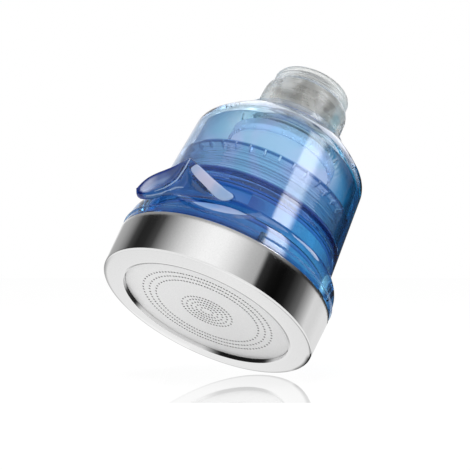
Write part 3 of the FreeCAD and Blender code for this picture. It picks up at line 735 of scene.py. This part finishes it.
class WATERFILTER_OT_neck(bpy.types.Operator):
    """Turns the clear neck with its outside thread"""

    bl_idname = "water_filter.neck"
    bl_label = "Inlet Neck"

    def execute(self, context):
        outside = [(7.9, 55.15, 0.2), (9.25, 55.15, 0.2), (9.8, 55.7, 0.2), (9.8, 55.9), (8.7, 56.0),
                   (8.7, 57.2), (9.8, 57.3), (9.8, 58.4), (8.72, 58.5), (8.72, 59.5), (9.8, 59.6),
                   (9.8, 60.75), (11.9, 60.75, 0.35), (12.3, 62.2, 2.0), (12.4, 65.6, 2.0),
                   (12.3, 69.0, 2.0), (11.9, 70.4, 0.4), (10.7, 70.4, 0.15), (10.6, 70.85)]
        for turn in range(4):
            base = 70.85 + turn
            outside += [(10.45, base + 0.05), (11.0, base + 0.4), (11.0, base + 0.55), (10.45, base + 0.9)]
        outside += [(10.6, 74.9), (10.6, 75.3, 0.3), (9.6, 75.3, 0.2), (9.6, 72.6), (7.9, 72.6, 0.3)]
        neck = spun("clear_neck", rounded(outside, 4), 160, sharp=50)
        dress(neck, streaked_clear("streaked_clear_finish"))
        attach(neck, "neck")
        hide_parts("inlet_neck")
        return {"FINISHED"}


class WATERFILTER_OT_lever(bpy.types.Operator):
    """Makes the diverter lever: a scooped thumb pad, a pale bar and a web between them, with painted
    highlights on the bar, the pad's lip and the lower edge, and painted shade in the web and the scoop
    """

    bl_idname = "water_filter.lever"
    bl_label = "Diverter Lever"

    # In mm: the gap to the body, which is the least thickness too, and the depths of the pad's scoop and
    # of the web
    gap, scoop, hollow = 0.35, 1.7, 1.1
    # In mm: the depth of the pad, what the arm has more, the rim's rounding and the tongue's middle height
    pad_depth, arm_depth, rounding, tongue_z = 2.2, 4.0, 0.95, 22.75
    # Azimuths in degrees of the front face and of the tongue
    face_turn, tongue_turn = -28.9, -38

    def shape(self, s, z, low, high):
        """Front and back distance from the axis at a point of the lever's side view."""
        front = plane = along(LEVER_PLANE, s)
        for outline, drop, soft in ((LEVER_DISH, self.scoop, 3.2), (LEVER_WEB, self.hollow, 1.4)):
            if inside(outline, s, z):
                front -= drop * ease(0.0, soft, gap_to(outline + outline[:1], s, z))
        back = plane - self.pad_depth - self.arm_depth * (1 - ease(4.5, 8.5, s))
        body = self.gap + along(BODY_SIDE, z)
        if abs(s) < body:
            back = max(back, math.sqrt(body * body - s * s))
        front = max(front, back + self.gap)
        rim = min(self.rounding, (high - low) / 2)
        edge = min(z - low, high - z)
        swell = math.sqrt(max(0.0, 1 - (1 - edge / rim) ** 2)) if edge < rim and rim > 0 else 1.0
        middle = (front + back) / 2
        return middle + (front - middle) * swell, middle + (back - middle) * swell

    def execute(self, context):
        angle = math.radians(self.face_turn)
        out = Vector((math.sin(angle), -math.cos(angle), 0))
        side = Vector((-math.cos(angle), -math.sin(angle), 0))

        def spot(s, h, z):
            """Point from the side view's length and height, and the distance in front of the axis."""
            return (side * s + out * h + Vector((0, 0, z - SHOULDER))) * MM

        bm = bmesh.new()
        bmesh.ops.create_grid(bm, x_segments=104, y_segments=80, size=1)
        first, last = LEVER_TOP[0][0], LEVER_TOP[-1][0]
        thick = bm.verts.layers.float.new("thick")
        tip = bm.verts.layers.float.new("tip")
        for vert in bm.verts:
            u, v = (vert.co.x + 1) / 2, (vert.co.y + 1) / 2
            s = first + (last - first) * (0.35 * u + 0.325 * (1 - math.cos(math.pi * u)))
            t = 2 * v if v < 0.5 else 2 * (1 - v)
            low, high = along(LEVER_BOTTOM, s), along(LEVER_TOP, s)
            if u < 0.001 or u > 0.999:
                low = high = (low + high) / 2
            z = low + (high - low) * (1 - math.cos(math.pi * t)) / 2
            front, back = self.shape(s, z, low, high)
            h = front if v < 0.5 else back
            rim = (1 - ease(0.9, 1.7, gap_to(LEVER_RIM, s, z))) * ease(7.5, 11.5, s)
            vert[thick] = rim
            # tip holds the share of the pad's painted highlight
            vert[tip] = ease(13.6, 16.2, s) * (1 - rim)
            vert.co = spot(s, h, z)
        bmesh.ops.remove_doubles(bm, verts=bm.verts, dist=1e-6)
        for face in bm.faces:
            middle = face.calc_center_median() / MM
            s, h, z = middle.dot(side), middle.dot(out), middle.z + SHOULDER
            # Faces of the web, the wall below it and the scoop get the lever's painted shade
            if h > along(LEVER_PLANE, s) - 2.0:
                web = inside(LEVER_WEB, s, z) or inside(LEVER_WALL, s, z)
                face.material_index = 1 if web else 2 if inside(LEVER_DISH, s, z) else 0
        pad = finish_mesh(bm, "lever_blade", sharp=60)

        def on_front(s, z, lift):
            """Point just over the front face, kept off the lever's edges."""
            low, high = along(LEVER_BOTTOM, s), along(LEVER_TOP, s)
            z = min(max(z, low + 0.2), high - 0.2)
            front = self.shape(s, z, low, high)[0]
            return spot(s, front + 0.02 + 0.12 * lift, z)

        def bar(x, y, lift):
            """Place on the pale bar above the web, for its painted highlight."""
            s = -1.55 + 6.45 * x
            middle = along(LEVER_BAR, s)
            return on_front(s + 0.9 * y, middle - 1.5 * y * (1 - 0.1 * x), lift)

        def lip(x, y, lift):
            """Place on the pad's upright edge, for its painted highlight."""
            z = 21.75 + 5.5 * x
            return on_front(along(LEVER_LIP, z) + 0.2 * y, z + 0.1 * y, lift)

        def sill(x, y, lift):
            """Place on the lower edge of the scoop and the web, for its painted highlight."""
            s = 10.1 + 4.7 * x
            return on_front(s, along(LEVER_SILL, s) + 0.2 * y, lift)

        bm = bmesh.new()
        bmesh.ops.create_cube(bm, size=1.0, matrix=Matrix.Rotation(math.radians(self.tongue_turn), 4, "Z")
                              @ Matrix.Translation((0, -0.0245, level(self.tongue_z)))
                              @ Matrix.Diagonal((0.008, 0.0058, 0.0035, 1)))
        bmesh.ops.bevel(bm, geom=bm.edges[:], offset=0.0003, segments=2, affect="EDGES", profile=0.5,
                        material=-1)
        tongue = finish_mesh(bm, "lever_tongue")
        blue = clear_material(settings(), "blue_lever_finish", marks=lever_marks)
        for piece in (pad, tongue):
            dress(piece, blue)
        dress(pad, shaded_material("lever_web_painted_shade", (0.018, 0.08, 0.25), (0.03, 0.12, 0.32)),
              shaded_material("lever_dish_painted_shade_and_highlight", (0.05, 0.09, 0.24), (0.12, 0.18, 0.36), dish_marks))
        for piece in (pad, tongue, skin("lever_facet", bar), skin("lever_lip", lip, wide=4),
                      skin("lever_sill", sill, wide=4)):
            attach(piece, "diverter")
        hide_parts("diverter_lever")
        return {"FINISHED"}


class WATERFILTER_OT_clear_parts(bpy.types.Operator):
    """Gives the clear plastic parts their finish"""

    bl_idname = "water_filter.clear_parts"
    bl_label = "Clear Parts"

    def execute(self, context):
        s = settings()
        finish_nodes(clear_material(s, "blue_dome_finish", marks=dome_marks), "upper_dome")
        finish_nodes(clear_material(s, "blue_threaded_finish", marks=body_marks, coat=1.7), "lower_body")
        self.shoulder_land()
        turns = [math.radians(340 * step / 16 - 90) for step in range(17)]
        bead = spun("flange_bead", [(29.75 + 0.3 * math.cos(t), 13.4 + 0.3 * math.sin(t)) for t in turns])
        dress(bead, clear_material(s))
        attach(bead, "base")
        finish_nodes(plain_finish("inner_blue_finish", (0.10, 0.32, 0.55), 0.2, 0.3, scale=160, variation=0.5,
                                  marks=rotor_marks), "diverter_rotor")
        finish_nodes(clear_plastic("cap_finish", (0.84, 0.82, 0.9), (0.6, 0.62, 0.8), low=0.2, high=0.3,
                                   weight=0.7), "cartridge_top_cap", "cartridge_bottom_cap")
        return {"FINISHED"}

    def shoulder_land(self):
        """Frosted lens-shaped skin on the flat land of the shoulder, below the lever, pale as a painted
        highlight.
        """
        middle, tilt = math.radians(-21), math.radians(35)
        out = Vector((math.sin(middle), -math.cos(middle), 0))
        across = Vector((math.cos(middle), math.sin(middle), 0))
        rise = out * -math.sin(tilt) + Vector((0, 0, math.cos(tilt)))
        normal = out * math.cos(tilt) + Vector((0, 0, math.sin(tilt)))
        foot = out * 29.9 + Vector((0, 0, 12.735 - SHOULDER))

        def on_land(x, y, lift):
            wide = 1.6 + 7.4 * x
            tall = 4.7 + 1.9 * y + 0.08 * wide
            return (foot + across * wide + rise * tall + normal * (0.02 + 0.1 * lift)) * MM

        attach(skin("shoulder_land", on_land, blunt=1.0, power=2), "base")


class WATERFILTER_OT_inside(bpy.types.Operator):
    """Gives the parts inside and below their finish"""

    bl_idname = "water_filter.inside"
    bl_label = "Inside Parts"

    def execute(self, context):
        finish_nodes(plain_finish("fleece_finish", (0.66, 0.62, 0.68), 0.8, 0.95, scale=1500, bump=0.6),
                     "filter_core")
        finish_nodes(plain_finish("white_plastic_finish", (0.82, 0.84, 0.86), 0.35, 0.45),
                     "distribution_plate")
        finish_nodes(plain_finish("steel_finish", (0.7, 0.7, 0.7), 0.25, 0.35, metallic=1.0),
                     "inlet_strainer", "neck_retainer", "base_screws", "lever_pin")
        finish_nodes(plain_finish("rubber_finish", (0.03, 0.03, 0.035), 0.45, 0.6),
                     "inlet_washer", "distribution_gasket", "chamber_seal", "plate_gasket")
        finish_nodes(plain_finish("rotor_ring_finish", (0.05, 0.16, 0.42), 0.35, 0.5),
                     "neck_o_ring", "cartridge_gasket", "rotor_upper_o_ring", "rotor_lower_o_ring")
        finish_nodes(plain_finish("blue_rubber_finish", (0.01, 0.035, 0.2), 0.3, 0.4), "dome_o_ring")
        return {"FINISHED"}


class WATERFILTER_OT_stage(bpy.types.Operator):
    """Sets up the camera, the lamps, the light tent and the floor"""

    bl_idname = "water_filter.stage"
    bl_label = "Stage"

    def execute(self, context):
        scene = context.scene
        camera = bpy.data.cameras.new("camera")
        camera.lens = 114.9
        camera.sensor_width = 36.0
        camera.clip_start = 0.01
        camera.clip_end = 10
        holder = add_object("camera", camera)
        turn = Matrix((VIEW_SIDE, VIEW_UP, VIEW_BACK)).transposed()
        holder.matrix_world = Matrix.Translation(VIEW_FROM) @ turn.to_4x4()
        scene.camera = holder
        scene.view_settings.view_transform = "Standard"
        self.world(scene)
        self.tent()
        for card in CARDS:
            self.strip(*card)
        for name in ("card_left", "card_right"):
            bpy.data.objects[name].visible_transmission = True
            bpy.data.objects[name].visible_glossy = False
        self.floor()
        self.lamp("key", (-0.25, -0.35, 0.25), 0.3, 2.0)
        self.lamp("fill", (0.4, -0.2, 0.1), 0.4, 2.0)
        return {"FINISHED"}

    def world(self, scene):
        """White backdrop, a little weaker where it lights than where it is seen."""
        world = bpy.data.worlds.new("studio")
        world.use_nodes = True
        scene.world = world
        tree = world.node_tree
        background = tree.nodes["Background"]
        background.inputs["Color"].default_value = (1, 1, 1, 1)
        path = add_node(tree, "LightPath").outputs
        seen = calc(tree, "MAXIMUM", path["Is Camera Ray"], path["Is Glossy Ray"])
        seen = calc(tree, "MAXIMUM", seen, path["Is Transmission Ray"])
        tree.links.new(smooth(tree, seen, 0, 1, 0.8, 1.0), background.inputs["Strength"])

    def band(self, tree, share, steps):
        """Ramp of grey light values by azimuth in degrees, over a share of the full turn."""
        ramp = add_node(tree, "ValToRGB", Fac=share)
        elements = ramp.color_ramp.elements
        elements[0].position, elements[1].position = 0, 1
        for azimuth, _ in steps[1:-1]:
            elements.new((azimuth + 180) / 360)
        for element, (_, value) in zip(elements, steps):
            element.color = (value, value, value, 1)
        return ramp.outputs["Color"]

    def azimuth(self, tree):
        """Azimuth from the front, in radians, of a place on a stage wall."""
        spot = spot_on(tree)
        return calc(tree, "ARCTAN2", spot["X"], product(tree, spot["Y"], -1.0))

    def tent(self):
        """Studio walls that only gloss and clear plastic see: pale with dark cards between."""
        bm = bmesh.new()
        bmesh.ops.create_cone(bm, segments=96, radius1=0.3, radius2=0.3, depth=1.6)
        wall = finish_mesh(bm, "light_tent")
        material, tree, surface = bare_material("tent_light")
        share = smooth(tree, self.azimuth(tree), -math.pi, math.pi)
        share.node.interpolation_type = "LINEAR"
        height, low, high = spot_on(tree)["Z"], -0.12, 0.07
        ring, body, face = [self.band(tree, share, steps) for steps in (RING_LIGHT, BODY_LIGHT, FACE_LIGHT)]
        lower = blend(tree, calc(tree, "LESS_THAN", height, low), ring, face)
        upper = blend(tree, calc(tree, "GREATER_THAN", height, high), lower, body)
        rays = add_node(tree, "LightPath").outputs
        through = product(tree, rays["Is Transmission Ray"], 0.7)
        light = add_node(tree, "Emission", Color=blend(tree, through, upper, (1.0, 1.0, 1.0)))
        tree.links.new(light.outputs[0], surface)
        dress(wall, material)
        self.gloss_only(wall)
        wall.visible_transmission = True

    def gloss_only(self, card):
        """Hides a card from all but mirror rays."""
        card.visible_camera = False
        card.visible_diffuse = False
        card.visible_shadow = False
        card.visible_transmission = False

    def strip(self, name, azimuths, heights, strength, colour, radius, soft):
        """Upright card round the long axis, seen only in gloss."""
        low, high = [math.radians(azimuth) for azimuth in azimuths]
        bm = bmesh.new()
        first, second = [bm.verts.new((radius * math.sin(low), -radius * math.cos(low), height))
                         for height in heights]
        edge = bm.edges.new((first, second))
        bmesh.ops.spin(bm, geom=[first, second, edge], axis=(0, 0, 1), angle=high - low, steps=16)
        card = finish_mesh(bm, name)
        material, tree, surface = bare_material(name)
        shown = add_node(tree, "Emission", Color=(*colour, 1), Strength=strength).outputs[0]
        if soft > 0:
            angle = self.azimuth(tree)
            faded = product(tree, smooth(tree, angle, low, low + soft),
                            smooth(tree, angle, high - 2 * soft, high, 1.0, 0.0))
            shown = mix_shaders(tree, faded, add_node(tree, "BsdfTransparent").outputs[0], shown)
        tree.links.new(shown, surface)
        dress(card, material)
        self.gloss_only(card)

    def floor(self):
        """White floor under the tilted filter, with a faint mirror image at its foot."""
        up, towards = VIEW_UP.normalized(), VIEW_BACK.normalized()
        side = towards.cross(up)
        turn = Matrix((side, -towards, up)).transposed().to_4x4()
        # In metres: the floor's height, and the far end and the middle of the strip that mirrors
        depth, horizon, middle = -0.0746, 0.0834, 0.02
        bm = bmesh.new()
        bmesh.ops.create_grid(bm, x_segments=1, y_segments=1, size=0.9,
                              matrix=Matrix.Translation(up * depth) @ turn)
        floor = finish_mesh(bm, "floor")
        if floor.data.polygons[0].normal.dot(up) < 0:
            floor.data.flip_normals()
        material, tree, surface = bare_material("floor_white")
        white = add_node(tree, "AddShader")
        glow = add_node(tree, "Emission", Strength=0.94)
        matt = add_node(tree, "BsdfDiffuse", Color=(0.06, 0.06, 0.06, 1))
        feed(tree, white.inputs, (glow.outputs[0], matt.outputs[0]))
        mirror = add_node(tree, "BsdfGlossy", Roughness=0.03, Color=(1, 1, 1, 1))
        forward, across = [self.distance_along(tree, line) for line in (towards, side)]
        aside = calc(tree, "ABSOLUTE", calc(tree, "SUBTRACT", across, middle))
        share = product(tree, smooth(tree, forward, 0.0, horizon, 0.55, 0.3),
                        smooth(tree, forward, -0.03, -0.005), calc(tree, "LESS_THAN", forward, horizon),
                        smooth(tree, aside, 0.0165, 0.0205, 1.0, 0.0))
        shine = mix_shaders(tree, share, white.outputs[0], mirror.outputs[0])
        below = add_node(tree, "NewGeometry").outputs["Backfacing"]
        clear = add_node(tree, "BsdfTransparent").outputs[0]
        tree.links.new(mix_shaders(tree, below, shine, clear), surface)
        dress(floor, material)
        floor.visible_glossy = False
        floor.visible_transmission = False

    def distance_along(self, tree, line):
        """Distance of a place from the origin along a direction."""
        node = add_node(tree, "VectorMath")
        node.operation = "DOT_PRODUCT"
        feed(tree, node.inputs, (on_piece(tree), line))
        return node.outputs["Value"]

    def lamp(self, name, where, size, power):
        """Square lamp aimed at the middle of the filter."""
        light = bpy.data.lights.new(name, "AREA")
        light.size = size
        light.energy = power
        holder = add_object(name, light)
        holder.location = where
        holder.visible_glossy = False
        holder.visible_transmission = False
        aim = Vector((0, 0, -0.035)) - Vector(where)
        holder.rotation_euler = aim.to_track_quat("-Z", "Y").to_euler()


class WATERFILTER_PT_panel(bpy.types.Panel):
    """Lists the pieces of the filter"""

    bl_idname = "WATERFILTER_PT_panel"
    bl_label = "Water Filter"
    bl_space_type = "VIEW_3D"
    bl_region_type = "UI"
    bl_category = "Water Filter"

    def draw(self, context):
        for key in WaterFilterSettings.__annotations__:
            self.layout.prop(settings(), key)
        for operator in PIECES:
            self.layout.operator(operator.bl_idname)


PIECES = (WATERFILTER_OT_stage, WATERFILTER_OT_trim_ring, WATERFILTER_OT_spray_plate, WATERFILTER_OT_neck,
          WATERFILTER_OT_lever, WATERFILTER_OT_clear_parts, WATERFILTER_OT_inside)
CLASSES = (WaterFilterSettings, *PIECES, WATERFILTER_PT_panel)


def register():
    for cls in CLASSES:
        bpy.utils.register_class(cls)
    bpy.types.Scene.water_filter = bpy.props.PointerProperty(type=WaterFilterSettings)


def unregister():
    del bpy.types.Scene.water_filter
    for cls in reversed(CLASSES):
        bpy.utils.unregister_class(cls)


def main():
    register()
    for operator in PIECES:
        group, name = operator.bl_idname.split(".")
        getattr(getattr(bpy.ops, group), name)()


if __name__ == "__main__":
    main()
